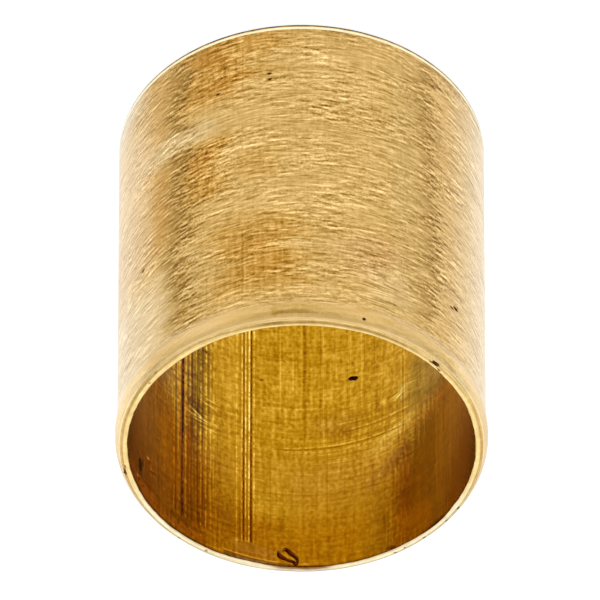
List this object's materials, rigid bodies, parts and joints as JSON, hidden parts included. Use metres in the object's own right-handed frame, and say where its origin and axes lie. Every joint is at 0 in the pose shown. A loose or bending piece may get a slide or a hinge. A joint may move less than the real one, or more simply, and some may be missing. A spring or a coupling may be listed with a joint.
{
  "type": "potentiometer sleeve",
  "caption": "Thin-walled brass tube that slips over a 6 mm shaft and fills a quarter-inch knob bore, open at both ends.",
  "frame": {"origin": "centre of the plain end that the sleeve stands on", "axes": "+Z along the bore, from the plain end to the cut end with the rolled edge"},
  "size_m": [0.0064, 0.0064, 0.0071],
  "materials": {
    "brass": "drawn tube, brushed round the outside with fine draw lines along the bore, lightly tarnished"
  },
  "bodies": {
    "root": {"sleeve": "brass"}
  },
  "joints": []
}
